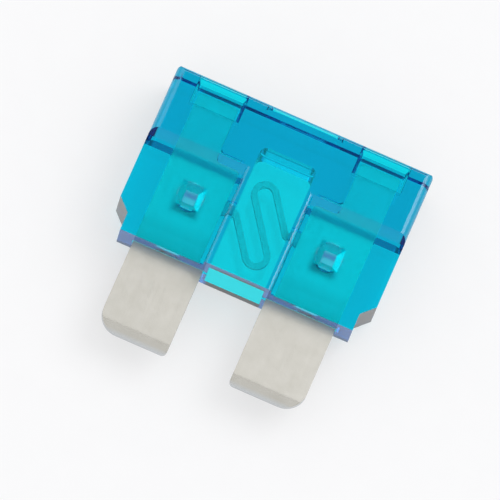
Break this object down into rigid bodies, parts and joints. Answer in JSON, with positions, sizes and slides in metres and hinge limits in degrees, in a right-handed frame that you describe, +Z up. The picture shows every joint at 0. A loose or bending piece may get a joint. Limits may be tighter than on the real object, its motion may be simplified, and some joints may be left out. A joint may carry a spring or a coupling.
{
  "type": "blade fuse",
  "caption": "Regular-size plug-in fuse: a clear blue moulded housing with an open link chamber and two test windows, round one stamped metal strip with two blades and a thin S-shaped link.",
  "frame": {"origin": "on the surface that the fuse lies on, under the middle of its width and of its whole length", "axes": "+X across the width, +Y from the blade tips towards the head, +Z up through the thickness"},
  "size_m": [0.019, 0.0188, 0.0051],
  "materials": {
    "housing_plastic": "clear tinted, polished mould finish",
    "element_metal": "satin, plated"
  },
  "bodies": {
    "root": {"housing": "housing_plastic", "fuse_element": "element_metal"}
  },
  "joints": []
}
